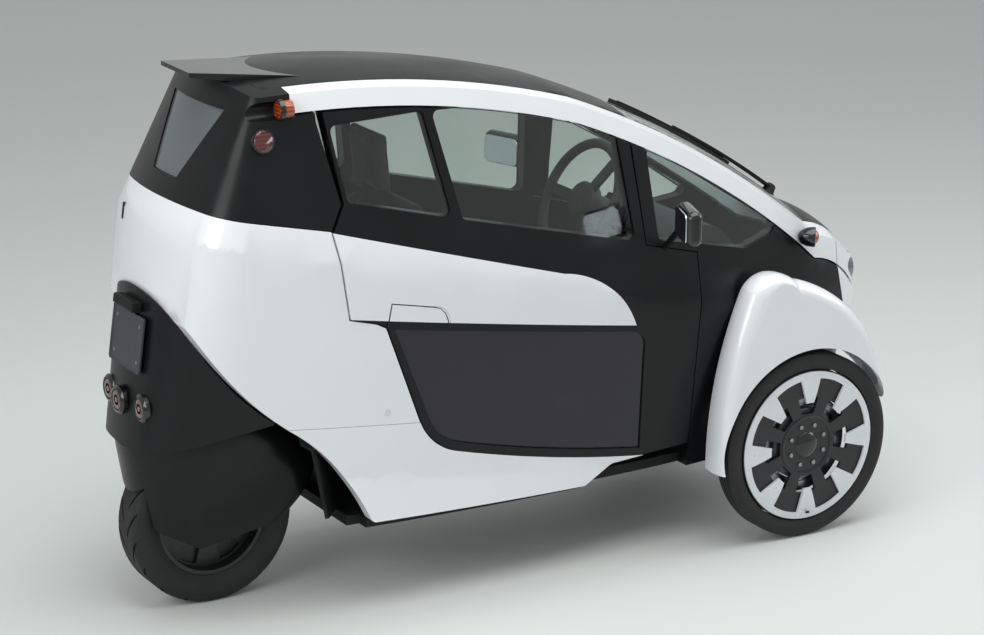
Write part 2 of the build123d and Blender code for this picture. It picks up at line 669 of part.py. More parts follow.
def nose_pieces(bonnet):
    bow = RAIL_BAR & block(RAIL_FRONT_S + SEAT_GAP, 3 * FAR, -FAR, FAR, 0, 3 * FAR)
    bores = pair(rod_x(HEADLAMP_R + SEAT_GAP, HEADLAMP_S - WALL, NOSE_S + WALL, -HEADLAMP_Y, HEADLAMP_Z))
    nose = ((WALLS + bow) & cross_prism(shrunk(NOSE, PANEL_GAP))) - bores
    lamp = rod_x(HEADLAMP_R, HEADLAMP_S, NOSE_S + WALL, -HEADLAMP_Y, HEADLAMP_Z) & BODY
    return nose, bonnet - bores, pair(lamp)


def front_cowl_pieces():
    cowl = (WALLS & right_prism(FRONT)) - right_prism(QUARTER)
    cowl -= SLOT_SKIN & right_prism(shrunk(QUARTER, -GLASS_EDGE - SEAT_GAP))
    cowl -= rod_y(FRONT_ARCH_R, -FAR, 0, WHEELBASE, FRONT_TYRE_R + FRONT_ARCH_RISE)
    glass = GLASS_SKIN & right_prism(shrunk(QUARTER, -GLASS_EDGE)) & UNDER_SEAL
    panel = cowl.solids().sort_by(SortBy.VOLUME)[-1]
    return pair(panel), pair(glass)


def sided_parts():
    """Doors and front wheels: made on the right and mirrored."""
    frame, panel, side_glass, lower_glass = door_pieces()
    right = {
        "door_frame": frame,
        "door_panel": panel,
        "door_side_glass": side_glass,
        "door_lower_glass": lower_glass,
        "door_mirror": mirror_pod(),
        "front_tyre": tyre(FRONT_TYRE_R, FRONT_TYRE_W, FRONT_RIM_R, WHEELBASE, -WHEEL_Y),
        "front_rim": front_rim(-WHEEL_Y),
        "wheel_cover": wheel_cover(-WHEEL_Y),
    }
    parts = {f"{name}_right": shape for name, shape in right.items()}
    parts |= {f"{name}_left": mirror(shape, about=Plane.XZ) for name, shape in right.items()}
    return parts


def place_parts():
    parts = sided_parts()
    parts["rear_tyre"] = tyre(REAR_TYRE_R, REAR_TYRE_W, REAR_RIM_R, 0, 0)
    parts["rear_rim"] = rear_rim()
    parts["rear_cowl"] = rear_cowl()
    parts["rear_fork"] = rear_fork()
    parts["wheel_housing"] = rear_wheel_housing()
    floor = SEATED & block(FLOOR_REAR_S, FLOOR_FRONT_S, -FAR, FAR, FLOOR_Z, FLOOR_Z + FLOOR_T)
    parts["floor_pan"] = floor + (side_envelope(LIP_INSET) & cross_prism(LIP))
    floor_top = FLOOR_Z + FLOOR_T + SEAT_GAP
    parts["battery_block"] = block(*BATTERY_S, -BATTERY_HALF, BATTERY_HALF, floor_top, BATTERY_TOP)
    parts["side_sills"] = pair(WALLS & right_prism(SILL))

    upper, window, ambers, lenses = rear_upper_pieces()
    parts["rear_upper_shell"] = upper
    parts["rear_window"] = window
    parts["rear_indicators"] = ambers
    parts["rear_side_lamps"] = lenses
    parts["tail_shell"] = WALLS & cross_prism(shrunk(TAIL, PANEL_GAP))
    parts["tail_bumper"] = tail_bumper()
    parts["tail_lamps"] = tail_lamps()
    parts["number_plate"] = number_plate()

    parts["roof_rails"] = pair(RAIL_BAR & block(RAIL_REAR_S, RAIL_FRONT_S, -FAR, -1, 0, 3 * FAR))
    parts["roof_panel"] = roof_skin(ROOF_WALL, -FAR, ROOF_FRONT_S)
    parts["roof_spoiler"] = roof_spoiler()
    parts["windscreen"] = roof_skin(GLASS, ROOF_FRONT_S + SEAT_GAP, SCREEN_FRONT_S)
    parts["wiper_arm"] = wiper_arm()

    nose, bonnet, headlamps = nose_pieces(roof_skin(BONNET_WALL, SCREEN_FRONT_S + SEAT_GAP, NOSE_S))
    parts["nose_shell"] = nose
    parts["bonnet"] = bonnet
    parts["headlamps"] = headlamps
    parts["front_cowls"], parts["quarter_glasses"] = front_cowl_pieces()
    parts["front_indicators"] = pair(Pos(*INDICATOR_AT) * Sphere(INDICATOR_R) - side_envelope(-SEAT_GAP))
    parts["front_knuckles"] = pair(front_knuckle())
    parts["front_suspension"] = front_suspension()
    parts["front_fenders"] = pair(front_fender())

    parts["dashboard"] = dashboard()
    parts["steering_wheel"] = steering_wheel()
    parts["driver_seat"] = driver_seat()
    parts["rear_seat"] = rear_seat()
    return parts


os.makedirs("parts", exist_ok=True)
for name, shape in place_parts().items():
    export_step(Pos(FRAME_SHIFT, 0, 0) * Compound(shape.solids()), f"parts/{name}.step")
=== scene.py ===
import json
import math

import bpy
from mathutils import Matrix, Vector

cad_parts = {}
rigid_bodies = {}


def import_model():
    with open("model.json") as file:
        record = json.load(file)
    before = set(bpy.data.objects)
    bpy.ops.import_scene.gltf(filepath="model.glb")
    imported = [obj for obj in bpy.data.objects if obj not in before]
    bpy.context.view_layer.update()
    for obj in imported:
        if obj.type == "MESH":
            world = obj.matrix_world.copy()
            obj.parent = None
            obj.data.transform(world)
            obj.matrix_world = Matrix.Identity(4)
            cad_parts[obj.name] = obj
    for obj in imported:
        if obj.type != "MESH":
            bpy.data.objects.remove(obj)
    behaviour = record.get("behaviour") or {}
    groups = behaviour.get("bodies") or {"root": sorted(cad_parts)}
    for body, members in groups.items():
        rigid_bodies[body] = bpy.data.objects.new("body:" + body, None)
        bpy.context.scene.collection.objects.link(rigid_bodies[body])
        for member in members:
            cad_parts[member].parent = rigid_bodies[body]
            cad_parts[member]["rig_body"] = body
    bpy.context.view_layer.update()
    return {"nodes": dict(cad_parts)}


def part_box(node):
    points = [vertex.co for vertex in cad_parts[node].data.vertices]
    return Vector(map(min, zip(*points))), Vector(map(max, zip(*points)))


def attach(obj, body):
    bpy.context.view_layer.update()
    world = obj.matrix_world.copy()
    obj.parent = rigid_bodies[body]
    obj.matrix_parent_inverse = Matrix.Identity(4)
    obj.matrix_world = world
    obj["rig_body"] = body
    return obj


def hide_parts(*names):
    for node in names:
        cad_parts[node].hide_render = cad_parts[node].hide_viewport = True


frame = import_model()
cadNodes = frame["nodes"]
print("stage: packed car loaded,", len(cadNodes), "nodes")

# stations along the car are counted from the rear axle, in metres
axleShift = -0.9225
frontWheelAt = (1.695, 0.387, 0.275)
rearWheelAt = (0, 0, 0.235)
bothSides = (("right", -1), ("left", 1))


def station(s):
    return s + axleShift


def onSide(place, lean):
    # a place (s, y, z) in metres, on the car's left where lean is 1 and on its right where it is -1
    s, y, z = place
    return Vector((station(s), lean * y, z))


def linearColour(code):
    parts = [int(code[i:i + 2], 16) / 255 for i in (1, 3, 5)]
    return tuple(c / 12.92 if c <= 0.04045 else ((c + 0.055) / 1.055) ** 2.4 for c in parts) + (1.0,)


def addNode(tree, kind, settings=None, inputs=None):
    node = tree.nodes.new(kind)
    for name, value in (settings or {}).items():
        setattr(node, name, value)
    for socket, value in (inputs or {}).items():
        if isinstance(value, bpy.types.NodeSocket):
            tree.links.new(value, node.inputs[socket])
        else:
            node.inputs[socket].default_value = value
    return node


def startMaterial(name):
    material = bpy.data.materials.new(name)
    material.use_nodes = True
    tree = material.node_tree
    tree.nodes.clear()
    shader = addNode(tree, "ShaderNodeBsdfPrincipled")
    addNode(tree, "ShaderNodeOutputMaterial", inputs={"Surface": shader.outputs["BSDF"]})
    place = addNode(tree, "ShaderNodeTexCoord").outputs["Object"]
    return material, tree, shader, place


# patch and grain are sizes in mm, depth is the bump's height in mm
surfaceFinishes = {
    # pearl white two-coat paint under clear lacquer: crisp highlights over a soft white with a faint flow of tone
    "pearlPaintLacquered": dict(colour="#e6e8ea", shade="#dde1e4", patch=260, rough=(0.30, 0.38), grain=3.0,
                                depth=0.006, coat=1.0, coatRough=0.03),
    # charcoal paint with a satin clear coat on moulded panels: broad, quiet highlights
    "charcoalPaintSatin": dict(colour="#0d0d0f", shade="#131416", patch=190, rough=(0.28, 0.38), grain=1.8,
                               depth=0.012, coat=0.06, coatRough=0.16, specular=0.22),
    # black polypropylene, moulded with a leathery grain that breaks up the light
    "polypropyleneGrained": dict(colour="#0e0f10", shade="#151617", patch=120, rough=(0.52, 0.66), grain=2.2,
                                 depth=0.09, coat=0.0, coatRough=0.3, specular=0.25),
    # gloss black ABS, moulded against a polished tool
    "absGlossBlack": dict(colour="#0c0d0f", shade="#111214", patch=150, rough=(0.10, 0.16), grain=5.0,
                          depth=0.004, coat=0.4, coatRough=0.05),
    # silver-white lacquer on the wheel discs: metal flake under clear coat
    "discLacquerSilver": dict(colour="#dfe2e5", shade="#cfd3d8", patch=60, rough=(0.26, 0.34), grain=1.2,
                              depth=0.008, coat=0.6, coatRough=0.06, metallic=0.15),
    # black powder coat on cast wheels: fine orange peel
    "powderCoatBlack": dict(colour="#141517", shade="#1b1c1f", patch=40, rough=(0.34, 0.46), grain=1.6,
                            depth=0.03, coat=0.1, coatRough=0.3),
    # sand-cast aluminium arms: dull grey with a pebbled skin
    "aluminiumSandCast": dict(colour="#6f7276", shade="#5c5f63", patch=70, rough=(0.45, 0.6), grain=2.4,
                              depth=0.12, coat=0.0, coatRough=0.3, metallic=0.8),
    # turned steel for discs, bolts and stems
    "steelTurned": dict(colour="#9a9da1", shade="#85888d", patch=25, rough=(0.24, 0.36), grain=0.8,
                        depth=0.01, coat=0.0, coatRough=0.3, metallic=1.0),
    # dark grey cabin plastic, moulded with a matt spark-eroded skin
    "cabinPlasticMatt": dict(colour="#2a2b2f", shade="#323338", patch=160, rough=(0.62, 0.75), grain=1.6,
                             depth=0.06, coat=0.0, coatRough=0.3),
    # extruded EPDM rubber for seals and wiper blades: dead black, slightly waxy
    "rubberExtruded": dict(colour="#0f1011", shade="#161718", patch=50, rough=(0.55, 0.68), grain=1.2,
                           depth=0.03, coat=0.0, coatRough=0.3),
    # bare plate blank of dark grey anodised sheet
    "plateBlankAnodised": dict(colour="#3b3d41", shade="#43454a", patch=35, rough=(0.34, 0.44), grain=0.9,
                               depth=0.01, coat=0.0, coatRough=0.3, metallic=0.4),
}


def makeFinish(name, look):
    material, tree, shader, place = startMaterial(name)
    patch = addNode(tree, "ShaderNodeTexNoise", {"noise_dimensions": "3D"},
                    {"Vector": place, "Scale": 1000 / look["patch"], "Detail": 3.0, "Roughness": 0.55})
    tone = addNode(tree, "ShaderNodeMix", {"data_type": "RGBA"},
                   {"Factor": patch.outputs["Fac"], "A": linearColour(look["colour"]),
                    "B": linearColour(look["shade"])})
    low, high = look["rough"]
    gloss = addNode(tree, "ShaderNodeMapRange", None,
                    {"Value": patch.outputs["Fac"], "From Min": 0.3, "From Max": 0.7, "To Min": low, "To Max": high})
    grain = addNode(tree, "ShaderNodeTexNoise", {"noise_dimensions": "3D"},
                    {"Vector": place, "Scale": 1000 / look["grain"], "Detail": 2.0})
    bump = addNode(tree, "ShaderNodeBump", None,
                   {"Height": grain.outputs["Fac"], "Strength": 0.6, "Distance": look["depth"] / 1000})
    tree.links.new(tone.outputs["Result"], shader.inputs["Base Color"])
    tree.links.new(gloss.outputs["Result"], shader.inputs["Roughness"])
    tree.links.new(bump.outputs["Normal"], shader.inputs["Normal"])
    shader.inputs["Coat Weight"].default_value = look["coat"]
    shader.inputs["Coat Roughness"].default_value = look["coatRough"]
    shader.inputs["Metallic"].default_value = look.get("metallic", 0.0)
    shader.inputs["Specular IOR Level"].default_value = look.get("specular", 0.5)
    return material


# clear and tinted panes; clear lets lamp light through so that the cabin isn't black
paneFinishes = {
    "glassTemperedGreen": dict(tint="#dce8e3", haze=0.0, dust="#f4f6f5"),  # toughened float glass, a green edge tint
    "glassSmokedGrey": dict(tint="#7d8387", haze=0.0, dust="#8b9195", clear=0.6),  # privacy glass, grey in the melt
    "polycarbonateSmoked": dict(tint="#262129", haze=0.0, dust="#2c2730", clear=0.45),  # dark purple-grey pane
    "lensPolycarbonateClear": dict(tint="#eef1f4", haze=0.0, dust="#ffffff"),  # headlamp cover
}


def makePane(name, look):
    material, tree, shader, place = startMaterial(name)
    drift = addNode(tree, "ShaderNodeTexNoise", None, {"Vector": place, "Scale": 4.0, "Detail": 2.0})
    tone = addNode(tree, "ShaderNodeMix", {"data_type": "RGBA"},
                   {"Factor": drift.outputs["Fac"], "A": linearColour(look["tint"]), "B": linearColour(look["dust"])})
    tree.links.new(tone.outputs["Result"], shader.inputs["Base Color"])
    shader.inputs["Transmission Weight"].default_value = look.get("clear", 1.0)
    shader.inputs["Roughness"].default_value = look["haze"]
    shader.inputs["IOR"].default_value = 1.46
    rays = addNode(tree, "ShaderNodeLightPath")
    veil = addNode(tree, "ShaderNodeBsdfTransparent", None, {"Color": linearColour(look["tint"])})
    both = addNode(tree, "ShaderNodeMixShader", None, {0: rays.outputs["Is Shadow Ray"], 1: shader.outputs["BSDF"],
                                                       2: veil.outputs["BSDF"]})
    output = next(n for n in tree.nodes if n.type == "OUTPUT_MATERIAL")
    tree.links.new(both.outputs["Shader"], output.inputs["Surface"])
    return material


# moulded PMMA lamp lenses: deep colour, optic ribs inside a polished skin; rib is the pitch in mm
lensFinishes = {
    "acrylicLensRed": dict(colour="#6e0b09", deep="#350404", rib=5.0),
    "acrylicLensAmber": dict(colour="#c9560a", deep="#8a2f05", rib=5.0),
}


def makeLens(name, look):
    material, tree, shader, place = startMaterial(name)
    ribs = addNode(tree, "ShaderNodeTexWave", {"wave_type": "BANDS", "bands_direction": "Z"},
                   {"Vector": place, "Scale": 1000 / look["rib"] / 6.28, "Distortion": 0.0})
    tone = addNode(tree, "ShaderNodeMix", {"data_type": "RGBA"},
                   {"Factor": ribs.outputs["Fac"], "A": linearColour(look["deep"]),
                    "B": linearColour(look["colour"])})
    bump = addNode(tree, "ShaderNodeBump", None,
                   {"Height": ribs.outputs["Fac"], "Strength": 0.35, "Distance": 0.0006})
    tree.links.new(tone.outputs["Result"], shader.inputs["Base Color"])
    tree.links.new(bump.outputs["Normal"], shader.inputs["Normal"])
    shader.inputs["Roughness"].default_value = 0.12
    shader.inputs["Transmission Weight"].default_value = 0.25
    shader.inputs["Coat Weight"].default_value = 1.0
    shader.inputs["Coat Roughness"].default_value = 0.02
    return material


def makeTyreRubber(name):
    # carbon-black tyre compound, moulded: charcoal where it is scrubbed, with a dusty bloom in patches
    material, tree, shader, place = startMaterial(name)
    bloom = addNode(tree, "ShaderNodeTexNoise", None,
                    {"Vector": place, "Scale": 22.0, "Detail": 5.0, "Roughness": 0.6})
    tone = addNode(tree, "ShaderNodeMix", {"data_type": "RGBA"},
                   {"Factor": bloom.outputs["Fac"], "A": linearColour("#0d0d0e"), "B": linearColour("#1d1d1e")})
    grain = addNode(tree, "ShaderNodeTexNoise", None, {"Vector": place, "Scale": 520.0, "Detail": 2.0})
    bump = addNode(tree, "ShaderNodeBump", None,
                   {"Height": grain.outputs["Fac"], "Strength": 0.5, "Distance": 0.00012})
    gloss = addNode(tree, "ShaderNodeMapRange", None,
                    {"Value": bloom.outputs["Fac"], "From Min": 0.3, "From Max": 0.7, "To Min": 0.58, "To Max": 0.76})
    tree.links.new(tone.outputs["Result"], shader.inputs["Base Color"])
    tree.links.new(gloss.outputs["Result"], shader.inputs["Roughness"])
    tree.links.new(bump.outputs["Normal"], shader.inputs["Normal"])
    return material


def makeSeatCloth(name):
    # woven polyester seat cloth, charcoal: thread pitch is drawn at 3 mm, coarser than real, so that it shows
    material, tree, shader, place = startMaterial(name)
    threadPitch = 3.0
    bands = 1000 / threadPitch / 6.28
    warp = addNode(tree, "ShaderNodeTexWave", {"bands_direction": "Y"}, {"Vector": place, "Scale": bands})
    weft = addNode(tree, "ShaderNodeTexWave", {"bands_direction": "Z"}, {"Vector": place, "Scale": bands})
    weave = addNode(tree, "ShaderNodeMath", {"operation": "MULTIPLY"},
                    {0: warp.outputs["Fac"], 1: weft.outputs["Fac"]})
    slub = addNode(tree, "ShaderNodeTexNoise", None, {"Vector": place, "Scale": 30.0, "Detail": 4.0})
    mixed = addNode(tree, "ShaderNodeMath", {"operation": "MULTIPLY_ADD"},
                    {0: weave.outputs["Value"], 1: 0.6, 2: slub.outputs["Fac"]})
    tone = addNode(tree, "ShaderNodeMix", {"data_type": "RGBA"},
                   {"Factor": mixed.outputs["Value"], "A": linearColour("#25262a"), "B": linearColour("#44464c")})
    bump = addNode(tree, "ShaderNodeBump", None,
                   {"Height": weave.outputs["Value"], "Strength": 0.5, "Distance": 0.0006})
    tree.links.new(tone.outputs["Result"], shader.inputs["Base Color"])
    tree.links.new(bump.outputs["Normal"], shader.inputs["Normal"])
    shader.inputs["Roughness"].default_value = 0.9
    shader.inputs["Sheen Weight"].default_value = 0.3
    return material


def makeMirrorGlass(name):
    # silvered mirror glass, ground flat: a clean reflection with a trace of haze
    material, tree, shader, place = startMaterial(name)
    haze = addNode(tree, "ShaderNodeTexNoise", None, {"Vector": place, "Scale": 30.0, "Detail": 2.0})
    gloss = addNode(tree, "ShaderNodeMapRange", None,
                    {"Value": haze.outputs["Fac"], "To Min": 0.01, "To Max": 0.05})
    tree.links.new(gloss.outputs["Result"], shader.inputs["Roughness"])
    shader.inputs["Base Color"].default_value = linearColour("#c9cfd4")
    shader.inputs["Metallic"].default_value = 1.0
    return material


finishes = {name: makeFinish(name, look) for name, look in surfaceFinishes.items()}
finishes.update({name: makePane(name, look) for name, look in paneFinishes.items()})
finishes.update({name: makeLens(name, look) for name, look in lensFinishes.items()})
finishes["tyreRubberMoulded"] = makeTyreRubber("tyreRubberMoulded")
finishes["polyesterWoven"] = makeSeatCloth("polyesterWoven")
finishes["mirrorGlassSilvered"] = makeMirrorGlass("mirrorGlassSilvered")
print("stage: finishes made,", len(finishes))

# points nearer to each other than this are merged, in metres
mergeGap = 0.00002


def deselectAll():
    if bpy.context.mode != "OBJECT":
        bpy.ops.object.mode_set(mode="OBJECT")
    bpy.ops.object.select_all(action="DESELECT")


def pick(piece):
    deselectAll()
    piece.select_set(True)
    bpy.context.view_layer.objects.active = piece


def editAll(piece):
    pick(piece)
    bpy.ops.object.mode_set(mode="EDIT")
    bpy.ops.mesh.select_all(action="SELECT")


def applyModifier(piece, kind, **settings):
    pick(piece)
    modifier = piece.modifiers.new(kind.lower(), kind)
    for name, value in settings.items():
        setattr(modifier, name, value)
    bpy.ops.object.modifier_apply(modifier=modifier.name)


def finishPiece(piece, name, finish, body, smoothAngle=35, flatten=True):
    piece.name = name
    piece.data.name = name
    piece.data.materials.clear()
    piece.data.materials.append(finishes[finish])
    pick(piece)
    bpy.ops.object.transform_apply(location=True, rotation=True, scale=True)
    bpy.ops.object.shade_smooth_by_angle(angle=math.radians(smoothAngle))
    if flatten:
        applyModifier(piece, "WEIGHTED_NORMAL", keep_sharp=True, weight=50)
    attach(piece, body)
    return piece


def nodeCopy(node):
    # a merged copy of a CAD node's mesh, because the node's own triangles are loose
    source = cadNodes[node]
    piece = bpy.data.objects.new(node + "Dressed", source.data.copy())
    bpy.context.scene.collection.objects.link(piece)
    editAll(piece)
    bpy.ops.mesh.remove_doubles(threshold=mergeGap)
    bpy.ops.object.mode_set(mode="OBJECT")
    return piece


def closeMesh(piece):
    editAll(piece)
    bpy.ops.mesh.remove_doubles(threshold=mergeGap)
    bpy.ops.mesh.delete_loose()
    bpy.ops.mesh.select_all(action="SELECT")
    bpy.ops.mesh.normals_make_consistent(inside=False)
    bpy.ops.object.mode_set(mode="OBJECT")


def spunPiece(section, steps=48):
    # a closed section of (radius, along) pairs in mm, spun round the Z axis
    deselectAll()
    bpy.ops.mesh.primitive_circle_add(vertices=len(section), radius=1.0, fill_type="NOTHING")
    piece = bpy.context.object
    for vertex, (radius, along) in zip(piece.data.vertices, section):
        vertex.co = (radius / 1000, 0.0, along / 1000)
    editAll(piece)
    bpy.ops.mesh.spin(steps=steps, angle=2 * math.pi, center=(0, 0, 0), axis=(0, 0, 1))
    closeMesh(piece)
    return piece


def setDown(piece, place, axis):
    # stands a spun piece at its place, with its Z along the axis
    turn = Vector((0, 0, 1)).rotation_difference(Vector(axis)).to_matrix().to_4x4()
    piece.matrix_world = Matrix.Translation(place) @ turn
    pick(piece)
    bpy.ops.object.transform_apply(location=True, rotation=True, scale=True)
    return piece


def roundedSlab(size, corner, edge, hollow=0.0):
    # a slab of size (x, y, z) mm with rounded corners seen along X and a softened rim; hollow sinks its -X face
    deselectAll()
    bpy.ops.mesh.primitive_cube_add(size=1.0)
    piece = bpy.context.object
    piece.scale = [length / 1000 for length in size]
    bpy.ops.object.transform_apply(scale=True)
    bpy.ops.object.mode_set(mode="EDIT")
    bpy.ops.mesh.select_mode(type="EDGE")
    bpy.ops.mesh.select_all(action="DESELECT")
    bpy.ops.object.mode_set(mode="OBJECT")
    points = piece.data.vertices
    for side in piece.data.edges:
        side.select = abs(points[side.vertices[0]].co.x - points[side.vertices[1]].co.x) > 1e-6
    bpy.ops.object.mode_set(mode="EDIT")
    bpy.ops.mesh.bevel(offset=corner / 1000, segments=6)
    if hollow:
        bpy.ops.mesh.select_mode(type="FACE")
        bpy.ops.mesh.select_all(action="DESELECT")
        bpy.ops.object.mode_set(mode="OBJECT")
        for face in piece.data.polygons:
            face.select = face.normal.x < -0.9
        bpy.ops.object.mode_set(mode="EDIT")
        bpy.ops.mesh.inset(thickness=edge * 2 / 1000, depth=-hollow / 1000)
    bpy.ops.object.mode_set(mode="OBJECT")
    applyModifier(piece, "BEVEL", width=edge / 1000, segments=2, limit_method="ANGLE",
                  angle_limit=math.radians(50), use_clamp_overlap=True)
    return piece


def ownCopy(piece):
    # a copy with its own mesh
    copy = bpy.data.objects.new(piece.name + "Copy", piece.data.copy())
    bpy.context.scene.collection.objects.link(copy)
    return copy


def joinPieces(pieces):
    deselectAll()
    for piece in pieces:
        piece.select_set(True)
    bpy.context.view_layer.objects.active = pieces[0]
    bpy.ops.object.join()
    return pieces[0]


def skinPoint(node, start, aim):
    # where a ray meets a dressed node, and the skin's normal there
    bpy.context.view_layer.update()
    return bpy.data.objects[node + "Dressed"].ray_cast(Vector(start), Vector(aim))[1:3]


def bowPoints(start, middle, end, count):
    # points along a bow from start through middle to end, without the end
    control = [2 * m - (a + b) / 2 for a, m, b in zip(start, middle, end)]
    return [tuple((1 - t) ** 2 * a + 2 * t * (1 - t) * c + t * t * b for a, c, b in zip(start, control, end))
            for t in (i / count for i in range(count))]


# CAD node, finish and edge break in mm (0 keeps the edges as they are)
dressedNodes = [
    ("tail_shell", "pearlPaintLacquered", 1.5),
    ("roof_rails", "pearlPaintLacquered", 1.5), ("nose_shell", "pearlPaintLacquered", 1.5),
    ("front_fenders", "pearlPaintLacquered", 1.5), ("door_panel_right", "pearlPaintLacquered", 0.5),
    ("door_panel_left", "pearlPaintLacquered", 0.5),
    ("rear_upper_shell", "charcoalPaintSatin", 1.2), ("roof_panel", "charcoalPaintSatin", 0),
    ("bonnet", "charcoalPaintSatin", 0), ("front_cowls", "charcoalPaintSatin", 1.2),
    ("door_frame_right", "charcoalPaintSatin", 1.2), ("door_frame_left", "charcoalPaintSatin", 1.2),
    ("tail_bumper", "charcoalPaintSatin", 1.2), ("rear_cowl", "charcoalPaintSatin", 1.2),
    ("roof_spoiler", "absGlossBlack", 2.0),
    ("floor_pan", "polypropyleneGrained", 2.0), ("wheel_housing", "polypropyleneGrained", 0),
    ("battery_block", "polypropyleneGrained", 4.0),
    ("door_mirror_right", "absGlossBlack", 0), ("door_mirror_left", "absGlossBlack", 0),
    ("number_plate", "plateBlankAnodised", 0.8), ("dashboard", "cabinPlasticMatt", 4.0),
    ("steering_wheel", "cabinPlasticMatt", 2.0),
    ("front_suspension", "aluminiumSandCast", 4.0), ("front_knuckles", "aluminiumSandCast", 3.0),
    ("rear_fork", "aluminiumSandCast", 2.0),
    ("front_rim_right", "powderCoatBlack", 1.0), ("front_rim_left", "powderCoatBlack", 1.0),
    ("rear_rim", "powderCoatBlack", 1.0),
    ("wheel_cover_right", "discLacquerSilver", 0.6), ("wheel_cover_left", "discLacquerSilver", 0.6),
    ("windscreen", "glassTemperedGreen", 0), ("quarter_glasses", "glassTemperedGreen", 0),
    ("door_side_glass_right", "glassTemperedGreen", 0), ("door_side_glass_left", "glassTemperedGreen", 0),
    ("door_lower_glass_right", "polycarbonateSmoked", 0), ("door_lower_glass_left", "polycarbonateSmoked", 0),
    ("rear_window", "glassSmokedGrey", 0),
    ("tail_lamps", "acrylicLensRed", 0), ("rear_side_lamps", "acrylicLensRed", 0),
    ("rear_indicators", "acrylicLensAmber", 0),
]
for node, finish, edgeBreak in dressedNodes:
    piece = nodeCopy(node)
    if edgeBreak:
        applyModifier(piece, "BEVEL", width=edgeBreak / 1000, segments=2, limit_method="ANGLE",
                      angle_limit=math.radians(40), use_clamp_overlap=True)
    smoothAngle = 12 if finish in paneFinishes else 35
    finishPiece(piece, node + "Dressed", finish, cadNodes[node]["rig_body"], smoothAngle)
    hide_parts(node)
print("stage: CAD pieces dressed,", len(dressedNodes))

# sills: the lower facet turns outwards below a crease; crease points are (s, z) in metres
sillShape = dict(creaseStart=(0.271, 0.384), creaseEnd=(1.066, 0.284), flare=0.30, edgeBreak=1.5)
sills = nodeCopy("side_sills")
(s0, z0), (s1, z1) = sillShape["creaseStart"], sillShape["creaseEnd"]
fall = (z1 - z0) / (s1 - s0)
editAll(sills)
bpy.ops.mesh.bisect(plane_co=(station(s0), 0, z0), plane_no=(-fall, 0, 1))
bpy.ops.object.mode_set(mode="OBJECT")
for vertex in sills.data.vertices:
    below = z0 + fall * (vertex.co.x - station(s0)) - vertex.co.z
    if below > 0:
        vertex.co.y += math.copysign(below * sillShape["flare"], vertex.co.y)
applyModifier(sills, "BEVEL", width=sillShape["edgeBreak"] / 1000, segments=2, limit_method="ANGLE",
              angle_limit=math.radians(40), use_clamp_overlap=True)
finishPiece(sills, "sillsFlared", "pearlPaintLacquered", "root", 18)
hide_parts("side_sills")
print("stage: sills")

# tyres: radii and widths in mm, as in the CAD; grooves run round the tread, slants are cut across it at an angle
tyreShapes = {
    "front": dict(radius=275, width=80, bead=222, steps=144, grooves=(-11, 11), grooveWidth=4, grooveDepth=5,
                  slantEvery=6, slantFrom=15, slantTo=34, slantDepth=3.5, twist=0.10),
    "rear": dict(radius=235, width=120, bead=158, steps=108, grooves=(), grooveWidth=4, grooveDepth=5,
                 slantEvery=6, slantFrom=5, slantTo=52, slantDepth=5.5, twist=0.42),
}
# the section: Out is a share of the half width, Drop a share of the width below the tread
# heels and wallFrom are mm above the bead, cutRim is the mm of rim round a cut
tyreSection = dict(beadOut=0.82, heelOut=0.87, heels=(5, 8), wallOut=0.9, wallFrom=10, shoulderOut=0.96,
                   shoulderDrop=0.16, bendOut=0.82, bendDrop=0.03, flatOut=0.62, cutDrop=0.06, cutRim=0.8)


def buildTyre(shape):
    half = shape["width"] / 2
    radius, bead = shape["radius"], shape["bead"]
    outs = {name: -half * value for name, value in tyreSection.items() if name.endswith("Out")}
    drops = {name: shape["width"] * value for name, value in tyreSection.items() if name.endswith("Drop")}
    flat, shoulder = -outs["flatOut"], radius - drops["shoulderDrop"]
    foot = [(bead, outs["beadOut"])] + [(bead + heel, outs["heelOut"]) for heel in tyreSection["heels"]]
    wallTop = (shoulder, outs["shoulderOut"])
    wall = bowPoints((bead + tyreSection["wallFrom"], outs["wallOut"]), ((bead + radius) / 2, -half), wallTop, 7)
    bend = bowPoints(wallTop, (radius - drops["bendDrop"], outs["bendOut"]), (radius, -flat), 6)
    crown = [-flat]
    for groove in shape["grooves"]:
        crown += [groove - shape["grooveWidth"] / 2, groove, groove + shape["grooveWidth"] / 2]
    stretch = [flat * i / 4 for i in range(-3, 4)]
    crown += [a for a in stretch if all(abs(a - g) > shape["grooveWidth"] for g in shape["grooves"])] + [flat]
    deep = {g: shape["grooveDepth"] for g in shape["grooves"]}
    tread = [(radius - deep.get(a, 0), a) for a in sorted(crown)]
    left = foot + wall + bend
    piece = spunPiece(left + tread + [(r, -a) for r, a in reversed(left)], shape["steps"])
    column = 2 * math.pi / shape["steps"]
    for face in piece.data.polygons:
        centre = face.center
        across = abs(centre.z) * 1000
        turn = round((math.atan2(centre.y, centre.x) / column - 0.5)) % shape["slantEvery"]
        offset = 0 if centre.z > 0 else shape["slantEvery"] // 2
        outside = math.hypot(centre.x, centre.y) * 1000 > shoulder - drops["cutDrop"]
        face.select = outside and turn == offset and shape["slantFrom"] < across < shape["slantTo"]
    pick(piece)
    bpy.ops.object.mode_set(mode="EDIT")
    bpy.ops.mesh.select_mode(type="FACE")
    bpy.ops.mesh.inset(thickness=tyreSection["cutRim"] / 1000, depth=-shape["slantDepth"] / 1000)
    bpy.ops.object.mode_set(mode="OBJECT")
    for vertex in piece.data.vertices:
        turn = shape["twist"] * min(abs(vertex.co.z) * 1000 / half, 1.0)
        vertex.co = Matrix.Rotation(turn, 3, "Z") @ vertex.co
    return piece


